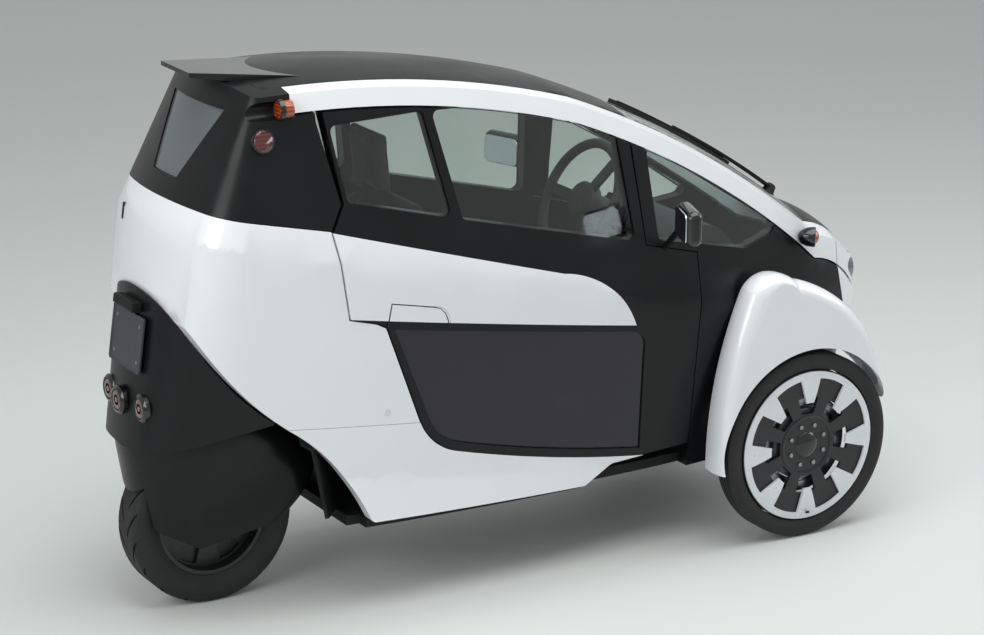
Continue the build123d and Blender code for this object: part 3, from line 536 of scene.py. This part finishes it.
for side, lean in bothSides:
    tyre = setDown(buildTyre(tyreShapes["front"]), onSide(frontWheelAt, lean), (0, 1, 0))
    finishPiece(tyre, "frontTyreTread_" + side, "tyreRubberMoulded", "wheel_front_" + side,
                30, False)
    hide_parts("front_tyre_" + side)
tyre = setDown(buildTyre(tyreShapes["rear"]), onSide(rearWheelAt, 1), (0, 1, 0))
finishPiece(tyre, "rearTyreTread", "tyreRubberMoulded", "wheel_rear", 30, False)
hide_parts("rear_tyre")
print("stage: tyres")

# wheel middles: sections are (radius, along) in mm, along points out of the car
hubShapes = dict(
    cap=[(0, 9), (20, 8), (33, 4), (38, -2), (38, -8), (0, -8)], capOut=31,
    ring=[(78, 3), (84, 5), (88, 3), (88, -4), (78, -4)], ringOut=27,
    brake=[(146, -2), (146, 4), (118, 4), (116, 2), (108, 2), (108, -2)], brakeOut=-4,
    bolt=[(0, 7), (5, 7), (7, 5), (7, 0), (10, 0), (10, -4), (0, -4)], boltCircle=60, bolts=8, boltOut=28,
    valve=[(0, 16), (3.5, 16), (4, 13), (3, 12), (3, 0), (5, -3), (0, -3)], valveCircle=203,
    valveOut=34, valveLean=0.4,
    nut=[(0, 12), (9, 12), (12, 9), (12, 2), (18, 2), (18, -2), (0, -2)], nutOut=84,
    motorDisc=[(40, -4), (142, -3), (143, 0), (142, 3), (40, 4)],
)


def ringOfCopies(section, circle, count, place, axis, steps=6):
    # one piece copied round a circle about place; section and circle in mm
    first = spunPiece(section, steps)
    copies = []
    for i in range(count):
        copy = ownCopy(first)
        angle = 2 * math.pi * (i + 0.5) / count
        spot = Vector(place) + Vector((math.cos(angle) * circle / 1000, 0, math.sin(angle) * circle / 1000))
        copies.append(setDown(copy, spot, axis))
    bpy.data.objects.remove(first)
    return joinPieces(copies)


for side, lean in bothSides:
    middle = onSide(frontWheelAt, lean)
    out = Vector((0, lean, 0))
    body = "wheel_front_" + side
    cap = setDown(spunPiece(hubShapes["cap"], 40), middle + out * hubShapes["capOut"] / 1000, out)
    finishPiece(cap, "hubCap_" + side, "absGlossBlack", body)
    ring = setDown(spunPiece(hubShapes["ring"], 64), middle + out * hubShapes["ringOut"] / 1000, out)
    finishPiece(ring, "hubRing_" + side, "powderCoatBlack", body)
    brake = setDown(spunPiece(hubShapes["brake"], 72), middle + out * hubShapes["brakeOut"] / 1000, out)
    finishPiece(brake, "brakeDisc_" + side, "steelTurned", body)
    bolts = ringOfCopies(hubShapes["bolt"], hubShapes["boltCircle"], hubShapes["bolts"],
                         middle + out * hubShapes["boltOut"] / 1000, out)
    finishPiece(bolts, "wheelBolts_" + side, "steelTurned", body, 25)
    valveSpot = middle + (out * hubShapes["valveOut"] - Vector((0, 0, hubShapes["valveCircle"]))) / 1000
    valve = setDown(spunPiece(hubShapes["valve"], 16), valveSpot, out + Vector((0, 0, hubShapes["valveLean"])))
    finishPiece(valve, "tyreValve_" + side, "rubberExtruded", body)
for side, lean in bothSides:
    out = Vector((0, lean, 0))
    nut = setDown(spunPiece(hubShapes["nut"], 6), onSide(rearWheelAt, 1) + out * hubShapes["nutOut"] / 1000, out)
    finishPiece(nut, "rearAxleNut_" + side, "steelTurned", "rear_steer", 25)
rearDisc = setDown(spunPiece(hubShapes["motorDisc"], 72), onSide(rearWheelAt, 1), (0, 1, 0))
finishPiece(rearDisc, "rearWheelMotorDisc", "powderCoatBlack", "wheel_rear")
print("stage: wheel middles")

# lamps: bezels, housings and reflectors, sections in mm
lampShapes = dict(
    tailBezel=[(26.5, -3), (29, 1.5), (34, 0), (39, -6), (39.5, -16), (26.5, -16)],
    tailOptic=[(0, 1.2), (7, 1.0), (8, 0), (14, 0), (15, 0.9), (20, 0.7), (20.5, -1.5), (0, -1.5)],
    sideBezel=[(26, -1), (28, 1.5), (31.5, 1), (33, -3), (33, -9), (26, -9)],
    podShell=[(0, -34), (10, -32), (20, -24), (27, -8), (29, 8), (28, 16), (24.5, 17), (24, 11), (0, 11)],
    podLens=[(0, 27), (9, 25.5), (17, 21), (22, 15), (23.8, 11.5), (0, 11.5)],
    bowl=[(46, 40), (40, 20), (28, 8), (14, 3), (12, 3), (12, 0), (30, 5), (44, 18), (47.5, 40)],
    bulb=[(0, 32), (6, 31), (10, 26), (11, 18), (11, 2), (0, 2)],
    rearBezel=[(23.5, -2), (25, 2), (28, 1), (29, -5), (29, -12), (23.5, -12)],
    # places are (s, y, z) in metres
    tailAt=(-0.250, 0.100, 0.600), tailStep=0.020, sideAt=(0.060, 0.8, 1.320), sideSink=0.003,
    rearAt=(0.1112, 0.248, 1.392), podAt=(1.795, 0.256, 0.838), podAim=(0.80, 0.60), headAt=(1.987, 0.112, 0.690),
    coverWall=0.003,
)
rearward, forward = Vector((-1, 0, 0)), Vector((1, 0, 0))
for i, name in ((-1, "right"), (0, "middle"), (1, "left")):
    face = onSide(lampShapes["tailAt"], i) + Vector((abs(i) * lampShapes["tailStep"], 0, 0))
    bezel = setDown(spunPiece(lampShapes["tailBezel"]), face, rearward)
    finishPiece(bezel, "tailLampBezel_" + name, "absGlossBlack", "root")
    optic = setDown(spunPiece(lampShapes["tailOptic"]), face, rearward)
    finishPiece(optic, "tailLampOptic_" + name, "acrylicLensRed", "root")
for side, lean in bothSides:
    place, normal = skinPoint("rear_side_lamps", onSide(lampShapes["sideAt"], lean), (0, -lean, 0))
    bezel = setDown(spunPiece(lampShapes["sideBezel"]), place - normal * lampShapes["sideSink"], normal)
    finishPiece(bezel, "sideLampBezel_" + side, "absGlossBlack", "root")
    bezel = setDown(spunPiece(lampShapes["rearBezel"]), onSide(lampShapes["rearAt"], lean), rearward)
    finishPiece(bezel, "rearIndicatorBezel_" + side, "absGlossBlack", "root")
    pod = onSide(lampShapes["podAt"], lean)
    podAim = Vector((lampShapes["podAim"][0], lean * lampShapes["podAim"][1], 0.0))
    shell = setDown(spunPiece(lampShapes["podShell"]), pod, podAim)
    finishPiece(shell, "indicatorPod_" + side, "absGlossBlack", "root")
    lens = setDown(spunPiece(lampShapes["podLens"]), pod, podAim)
    finishPiece(lens, "indicatorLens_" + side, "acrylicLensAmber", "root")
    if side == "right":
        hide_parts("front_indicators")
    bowl = setDown(spunPiece(lampShapes["bowl"], 64), onSide(lampShapes["headAt"], lean), forward)
    finishPiece(bowl, "headlampBowl_" + side, "steelTurned", "root")
    bulb = setDown(spunPiece(lampShapes["bulb"], 32), onSide(lampShapes["headAt"], lean), forward)
    finishPiece(bulb, "headlampBulb_" + side, "lensPolycarbonateClear", "root")

# headlamp covers: only the outer face of the CAD lens, as a thin moulding
cover = nodeCopy("headlamps")
for face in cover.data.polygons:
    face.select = face.normal.x < 0.25
pick(cover)
bpy.ops.object.mode_set(mode="EDIT")
bpy.ops.mesh.select_mode(type="FACE")
bpy.ops.mesh.delete(type="FACE")
bpy.ops.object.mode_set(mode="OBJECT")
applyModifier(cover, "SOLIDIFY", thickness=lampShapes["coverWall"], offset=-1.0)
finishPiece(cover, "headlampCover", "lensPolycarbonateClear", "root", 20)
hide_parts("headlamps")
print("stage: lamps")

# mirror glass, set in the rear face of each pod
mirrorShape = dict(place=(1.222, 0.492, 1.005), toe=20, depth=46, proud=0.0005,
                   glass=dict(size=(4, 124, 80), corner=17, edge=0.8, hollow=0.6))
for side, lean in bothSides:
    glass = roundedSlab(**mirrorShape["glass"])
    turn = Matrix.Rotation(math.radians(lean * mirrorShape["toe"]), 4, "Z")
    inset = Matrix.Translation((-mirrorShape["depth"] / 2000 - mirrorShape["proud"], 0, 0))
    glass.matrix_world = Matrix.Translation(onSide(mirrorShape["place"], lean)) @ turn @ inset
    finishPiece(glass, "mirrorGlass_" + side, "mirrorGlassSilvered", "door_" + side)

# wiper: a tapered arm and a blade that follow the screen's arc; spans are shares of the arc
wiperShape = dict(arc=((1.000, 1.348), (1.436, 1.152), (1.830, 0.896)), blade=(0.30, 0.80), arm=(0.55, 0.985),
                  bladeWidth=9, bladeDepth=12, armWidths=(10, 26), armDepth=9, armLifts=(16, 22), bladeLift=7,
                  spineInset=0.03, spineWidth=13, spineLift=14, spineDepth=3, edgeBreak=1.8,
                  pivot=[(0, 34), (10, 33), (15, 28), (18, 12), (24, 4), (24, -4), (0, -4)])


def screenPoint(t):
    # the screen's middle line at a share t of its arc, and the way out of the glass there
    (s0, z0), (s1, z1), (s2, z2) = wiperShape["arc"]
    sBow, zBow = 2 * s1 - (s0 + s2) / 2, 2 * z1 - (z0 + z2) / 2
    s = (1 - t) ** 2 * s0 + 2 * t * (1 - t) * sBow + t * t * s2
    z = (1 - t) ** 2 * z0 + 2 * t * (1 - t) * zBow + t * t * z2
    along = Vector((2 * (1 - t) * (sBow - s0) + 2 * t * (s2 - sBow), 0,
                    2 * (1 - t) * (zBow - z0) + 2 * t * (z2 - zBow)))
    along.normalize()
    return Vector((station(s), 0, z)), Vector((-along.z, 0, along.x))


def screenBar(span, widths, lifts, depth):
    deselectAll()
    bpy.ops.mesh.primitive_grid_add(x_subdivisions=24, y_subdivisions=1, size=1.0)
    bar = bpy.context.object
    for vertex in bar.data.vertices:
        t = vertex.co.x + 0.5
        place, up = screenPoint(span[0] + (span[1] - span[0]) * t)
        width = widths[0] + (widths[1] - widths[0]) * t
        lift = lifts[0] + (lifts[1] - lifts[0]) * t
        vertex.co = place + up * lift / 1000 + Vector((0, (1 if vertex.co.y > 0 else -1) * width / 2000, 0))
    applyModifier(bar, "SOLIDIFY", thickness=depth / 1000, offset=0.0)
    applyModifier(bar, "BEVEL", width=wiperShape["edgeBreak"] / 1000, segments=2, limit_method="ANGLE",
                  angle_limit=math.radians(50))
    return bar


shape = wiperShape
bladeFrom, bladeTo = shape["blade"]
blade = screenBar(shape["blade"], (shape["bladeWidth"],) * 2, (shape["bladeLift"],) * 2, shape["bladeDepth"])
finishPiece(blade, "wiperBlade", "rubberExtruded", "root")
spine = screenBar((bladeFrom + shape["spineInset"], bladeTo - shape["spineInset"]), (shape["spineWidth"],) * 2,
                  (shape["spineLift"],) * 2, shape["spineDepth"])
finishPiece(spine, "wiperSpine", "polypropyleneGrained", "root")
arm = screenBar(shape["arm"], shape["armWidths"], shape["armLifts"], shape["armDepth"])
finishPiece(arm, "wiperArm", "polypropyleneGrained", "root")
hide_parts("wiper_arm")
foot, up = screenPoint(shape["arm"][1])
pivot = setDown(spunPiece(shape["pivot"]), foot, up)
finishPiece(pivot, "wiperPivot", "polypropyleneGrained", "root")
print("stage: mirrors and wiper")

# handle flaps: painted shade, a dark tube laid in the groove of each door panel so that the flap's shut line reads as
# a shadowed gap; corners are (s, z) in metres
handleShape = dict(corners=((0.376, 0.800), (0.3855, 0.8645), (0.505, 0.8405), (0.528, 0.8330), (0.5430, 0.8180),
                            (0.5520, 0.7970), (0.5555, 0.7760)), stepsEach=6, radius=0.0015, sink=0.0012,
                   castFrom=0.8, reach=3)
for side, lean in bothSides:
    gapShadeCurve = bpy.data.curves.new("handleGapShade", "CURVE")
    gapShadeCurve.dimensions = "3D"
    gapShadeCurve.bevel_depth = handleShape["radius"]
    run = gapShadeCurve.splines.new("POLY")
    track = []
    corners = handleShape["corners"]
    for (sA, zA), (sB, zB) in zip(corners, corners[1:]):
        for i in range(handleShape["stepsEach"]):
            share = i / handleShape["stepsEach"]
            start = onSide((sA + (sB - sA) * share, handleShape["castFrom"], zA + (zB - zA) * share), lean)
            place, _ = skinPoint("door_panel_" + side, start, (0, -lean, 0))
            track.append((start.x, place.y, start.z))
    # the skin beside the groove, not its floor
    reach = handleShape["reach"]
    outermost = [lean * max(abs(y) for _, y, _ in track[max(0, i - reach):i + reach + 1])
                 for i in range(len(track))]
    run.points.add(len(track) - 1)
    for point, (x, y, z), skin in zip(run.points, track, outermost):
        point.co = (x, skin - lean * handleShape["sink"], z, 1.0)
    holder = bpy.data.objects.new("handleGapShade", gapShadeCurve)
    bpy.context.scene.collection.objects.link(holder)
    pick(holder)
    bpy.ops.object.convert(target="MESH")
    # the dark tube is painted shade for the shut line round the flap
    finishPiece(bpy.context.object, "handleGapShade_" + side, "rubberExtruded", "door_" + side,
                60, False)

# small fittings on the tail: key cap, slot, plate holder and screws; sizes in mm, starts are (s, y, z) in metres
tailShapes = dict(
    key=[(0, 1.0), (5, 1.0), (5.6, -0.8), (7.4, -0.8), (8, 1.4), (10, 1.0), (10.6, -3), (0, -3)],
    keyStart=(0.386, -0.8, 0.557),
    slot=dict(size=(5, 14, 46), corner=6, edge=0.8, hollow=2.0), slotStart=(-0.9, 0.162, 1.066),
    holder=dict(size=(7, 192, 152), corner=8, edge=1.2, hollow=3.6), holderProud=0.0005,
    screw=[(0, 2.4), (1.4, 2.4), (1.6, 1.4), (3, 2.2), (5, 1.2), (5.5, -2), (0, -2)],
    screwAt=((-70, 48), (70, 48), (-70, -48), (70, -48)), plateHeight=0.765, hoodHeight=0.034,
)
place, normal = skinPoint("tail_shell", onSide(tailShapes["keyStart"], 1), (0, 1, 0))
key = setDown(spunPiece(tailShapes["key"], 40), place, normal)
finishPiece(key, "keyCap", "discLacquerSilver", "root")
place, normal = skinPoint("tail_shell", onSide(tailShapes["slotStart"], 1), forward)
slot = roundedSlab(**tailShapes["slot"])
slot.matrix_world = Matrix.Translation(place) @ rearward.rotation_difference(normal).to_matrix().to_4x4()
finishPiece(slot, "tailSlot", "rubberExtruded", "root")
plateLow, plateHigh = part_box("number_plate")
plateMiddle, plateNormal = skinPoint("number_plate", (plateLow[0] - 0.3, 0, tailShapes["plateHeight"]), forward)
plateTurn = rearward.rotation_difference(plateNormal).to_matrix().to_4x4()
plateHolder = roundedSlab(**tailShapes["holder"])
plateHolder.matrix_world = Matrix.Translation(plateMiddle + plateNormal * tailShapes["holderProud"]) @ plateTurn
finishPiece(plateHolder, "plateHolder", "plateBlankAnodised", "root")
screws = []
for y, z in tailShapes["screwAt"]:
    spot = plateMiddle + plateTurn.to_3x3() @ Vector((0, y / 1000, z / 1000))
    screws.append(setDown(spunPiece(tailShapes["screw"], 20), spot, plateNormal))
finishPiece(joinPieces(screws), "plateScrews", "steelTurned", "root")
# the hood over the plate takes the black plastic
hood = bpy.data.objects["number_plateDressed"]
hood.data.materials.append(finishes["polypropyleneGrained"])
for face in hood.data.polygons:
    face.material_index = 1 if face.center.z > plateHigh[2] - tailShapes["hoodHeight"] else 0
print("stage: tail fittings")

# seats: a moulded frame from the CAD seat, with cloth pads over it
# a pad is its name, middle s and z in metres, size in mm and lean in degrees; seams are shares of the half width
seatShapes = {
    "driver_seat": dict(seams=0.62, pads=(("Cushion", 0.800, 0.470, (420, 372, 104), -4),
                                          ("Back", 0.590, 0.775, (92, 372, 560), -9),
                                          ("Head", 0.508, 1.165, (66, 190, 180), -5))),
    "rear_seat": dict(seams=0.62, pads=(("Cushion", 0.268, 0.655, (310, 322, 86), -4),
                                        ("Back", 0.078, 0.880, (80, 322, 400), -8),
                                        ("Head", 0.018, 1.172, (56, 168, 150), -5))),
}
padShape = dict(voxel=0.006, shrink=10, corner=0.022, pressure=4.0, frames=20, cap=0.024, seamWidth=9, seamDepth=7,
                frameVoxel=0.008, frameSink=0.014)


def swollenPad(pad):
    # swells a pad as filled cloth does, and caps how far each point moves
    start = [vertex.co.copy() for vertex in pad.data.vertices]
    pick(pad)
    cloth = pad.modifiers.new("filling", "CLOTH")
    cloth.settings.use_pressure = True
    cloth.settings.uniform_pressure_force = padShape["pressure"]
    cloth.settings.effector_weights.gravity = 0.0
    cloth.settings.quality = 4
    scene = bpy.context.scene
    cloth.point_cache.frame_end = padShape["frames"]
    for step in range(1, padShape["frames"] + 1):
        scene.frame_set(step)
    bpy.ops.object.modifier_apply(modifier=cloth.name)
    scene.frame_set(1)
    for vertex, first in zip(pad.data.vertices, start):
        move = vertex.co - first
        if move.length > padShape["cap"]:
            vertex.co = first + move * (padShape["cap"] / move.length)
    return pad


for node, shape in seatShapes.items():
    core = nodeCopy(node)
    applyModifier(core, "REMESH", mode="VOXEL", voxel_size=padShape["frameVoxel"])
    applyModifier(core, "DISPLACE", strength=-padShape["frameSink"], mid_level=0.0)
    applyModifier(core, "SMOOTH", iterations=6, factor=0.5)
    finishPiece(core, node + "Frame", "cabinPlasticMatt", "root", 60, False)
    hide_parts(node)
    for padName, s, z, size, lean in shape["pads"]:
        deselectAll()
        bpy.ops.mesh.primitive_cube_add(size=1.0)
        pad = bpy.context.object
        trim = 2 * padShape["shrink"]
        pad.scale = [(length - trim) / 1000 for length in size]
        pad.rotation_euler = (0, math.radians(lean), 0)
        pad.location = (station(s), 0, z)
        bpy.ops.object.transform_apply(location=True, rotation=True, scale=True)
        applyModifier(pad, "BEVEL", width=padShape["corner"], segments=3, limit_method="ANGLE",
                      angle_limit=math.radians(50))
        applyModifier(pad, "REMESH", mode="VOXEL", voxel_size=padShape["voxel"])
        swollenPad(pad)
        pad.data.update()
        seamAt = size[1] / 2000 * shape["seams"]
        normals = [vertex.normal.copy() for vertex in pad.data.vertices]
        # a head pad has no seams
        seamed = () if padName == "Head" else zip(pad.data.vertices, normals)
        for vertex, normal in seamed:
            dent = math.exp(-((abs(vertex.co.y) - seamAt) / (padShape["seamWidth"] / 1000)) ** 2)
            vertex.co = vertex.co - normal * dent * padShape["seamDepth"] / 1000
        applyModifier(pad, "SUBSURF", levels=1, render_levels=1)
        finishPiece(pad, node + padName, "polyesterWoven", "root", 60, False)
print("stage: seats")

# cabin: a hub pad on the steering wheel, a display and vents; sizes in mm, places are (s, y, z) in metres
cabinShapes = dict(
    wheelAt=(1.180, 0, 0.969), wheelLean=26, hubProud=0.002,
    hub=[(0, 12), (30, 11), (46, 7), (52, 0), (52, -8), (46, -14), (0, -14)],
    display=dict(size=(14, 180, 96), corner=10, edge=2.0, hollow=3.0), displayAt=(1.318, 0, 0.905), displayLean=18,
    vent=dict(size=(16, 66, 44), corner=12, edge=1.5, hollow=7.0), ventAt=(1.298, 0.155, 0.815),
)
tilt = math.radians(cabinShapes["wheelLean"])
wheelOut = Vector((-math.cos(tilt), 0, math.sin(tilt)))
hubSpot = onSide(cabinShapes["wheelAt"], 1) + wheelOut * cabinShapes["hubProud"]
hub = setDown(spunPiece(cabinShapes["hub"], 40), hubSpot, wheelOut)
finishPiece(hub, "steeringHubPad", "cabinPlasticMatt", "steering_wheel")
display = roundedSlab(**cabinShapes["display"])
display.matrix_world = (Matrix.Translation(onSide(cabinShapes["displayAt"], 1))
                        @ Matrix.Rotation(math.radians(cabinShapes["displayLean"]), 4, "Y"))
finishPiece(display, "dashDisplay", "absGlossBlack", "root")
for side, lean in bothSides:
    vent = roundedSlab(**cabinShapes["vent"])
    vent.matrix_world = Matrix.Translation(onSide(cabinShapes["ventAt"], lean))
    finishPiece(vent, "dashVent_" + side, "absGlossBlack", "root")
print("stage: cabin")

# studio: pale floor, a bright ground behind it, soft lamps
studio = dict(floorColour="#d3d8d5", floorRough=0.6, floorSize=60.0, backColour="#c3c9c6",
              worldColour="#f4f6f7", worldLight=0.5)
softBoxes = {
    "topSoftBox": dict(power=140.0, size=(5.0, 3.0), place=(0.2, -0.8, 4.2), target=(0.0, 0.0, 0.5)),
    "rearSoftBox": dict(power=78.0, size=(2.5, 2.5), place=(-4.5, -1.5, 2.6), target=(-0.4, 0.0, 0.7)),
    "frontSoftBox": dict(power=44.0, size=(2.5, 2.0), place=(4.6, -1.4, 2.6), target=(0.5, 0.0, 0.6)),
}
deselectAll()
bpy.ops.mesh.primitive_plane_add(size=studio["floorSize"], location=(0, 0, 0))
floor = bpy.context.object
floor.name = "studioFloor"
floorMaterial, _, floorShader, _ = startMaterial("floorPaintMatt")
floorShader.inputs["Base Color"].default_value = linearColour(studio["floorColour"])
floorShader.inputs["Roughness"].default_value = studio["floorRough"]
floor.data.materials.append(floorMaterial)

world = bpy.data.worlds.new("studioWorld")
bpy.context.scene.world = world
world.use_nodes = True
worldTree = world.node_tree
worldTree.nodes.clear()
rays = addNode(worldTree, "ShaderNodeLightPath")
direct = addNode(worldTree, "ShaderNodeMath", {"operation": "MAXIMUM"},
                 {0: rays.outputs["Is Camera Ray"], 1: rays.outputs["Is Transmission Ray"]})
seen = addNode(worldTree, "ShaderNodeMath", {"operation": "MAXIMUM"},
               {0: direct.outputs["Value"], 1: rays.outputs["Is Glossy Ray"]})
ambient = addNode(worldTree, "ShaderNodeBackground", None,
                  {"Color": linearColour(studio["worldColour"]), "Strength": studio["worldLight"]})
backdrop = addNode(worldTree, "ShaderNodeBackground", None,
                   {"Color": linearColour(studio["backColour"]), "Strength": 1.0})
worldMix = addNode(worldTree, "ShaderNodeMixShader", None,
                   {0: seen.outputs["Value"], 1: ambient.outputs["Background"], 2: backdrop.outputs["Background"]})
addNode(worldTree, "ShaderNodeOutputWorld", inputs={"Surface": worldMix.outputs["Shader"]})


def softBox(name, power, size, place, target):
    lamp = bpy.data.lights.new(name, "AREA")
    lamp.energy = power
    lamp.shape = "RECTANGLE"
    lamp.size, lamp.size_y = size
    holder = bpy.data.objects.new(name, lamp)
    bpy.context.scene.collection.objects.link(holder)
    holder.location = place
    holder.rotation_euler = (Vector(target) - Vector(place)).to_track_quat("-Z", "Y").to_euler()


for name, box in softBoxes.items():
    softBox(name, **box)

# the photograph's camera, solved from its wheels and wheelbase
viewpoint = dict(place=(-4.3547, -7.4223, 3.2435), yaw=59.757, pitch=-16.734, roll=0.409, focal=3200.0,
                 frameWidth=984.0, sensor=36.0, reach=200.0)
cameraData = bpy.data.cameras.new("photoCamera")
cameraData.sensor_width = viewpoint["sensor"]
cameraData.lens = viewpoint["focal"] / viewpoint["frameWidth"] * cameraData.sensor_width
cameraData.clip_end = viewpoint["reach"]
camera = bpy.data.objects.new("photoCamera", cameraData)
bpy.context.scene.collection.objects.link(camera)
yaw, pitch = math.radians(viewpoint["yaw"]), math.radians(viewpoint["pitch"])
sight = Vector((math.cos(pitch) * math.cos(yaw), math.cos(pitch) * math.sin(yaw), math.sin(pitch)))
aim = sight.to_track_quat("-Z", "Y").to_matrix().to_4x4()
camera.matrix_world = (Matrix.Translation(viewpoint["place"]) @ aim
                       @ Matrix.Rotation(math.radians(viewpoint["roll"]), 4, "Z"))
bpy.context.scene.camera = camera
bpy.context.scene.view_settings.view_transform = "Standard"
print("stage: studio and camera set")
